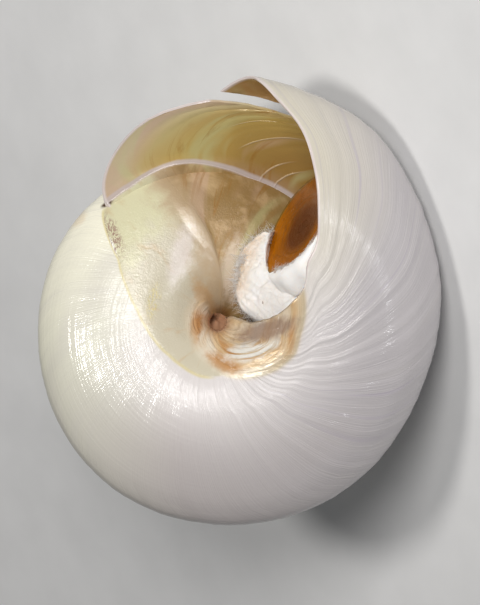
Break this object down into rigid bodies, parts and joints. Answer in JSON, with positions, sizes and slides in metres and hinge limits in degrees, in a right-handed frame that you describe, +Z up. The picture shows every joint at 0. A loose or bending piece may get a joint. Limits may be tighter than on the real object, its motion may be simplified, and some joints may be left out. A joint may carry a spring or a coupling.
{
  "type": "slit shell",
  "caption": "Slit shell lying on its side: a wide conical spiral with a narrow slit in its lip, a pearly mouth, and its round amber lid held by a tuft of cotton.",
  "frame": {"origin": "centre of the bounding box at the surface that the shell lies on", "axes": "+Z up; the shell lies on its spire and body whorl, its base and mouth turned up and towards -Y, its apex towards +Y"},
  "size_m": [0.1044, 0.0926, 0.0735],
  "materials": {
    "pearly_shell": "smooth pearly white outside with cream and lilac tints and fine growth lines; golden nacre inside the mouth and round the pit",
    "horn": "translucent amber horn, red-brown in the middle, thin olive-yellow edge, fine concentric lines",
    "cotton": "matt white loose cotton fibre"
  },
  "bodies": {
    "root": {"shell": "pearly_shell", "operculum": "horn", "cotton_wad": "cotton"}
  },
  "joints": []
}
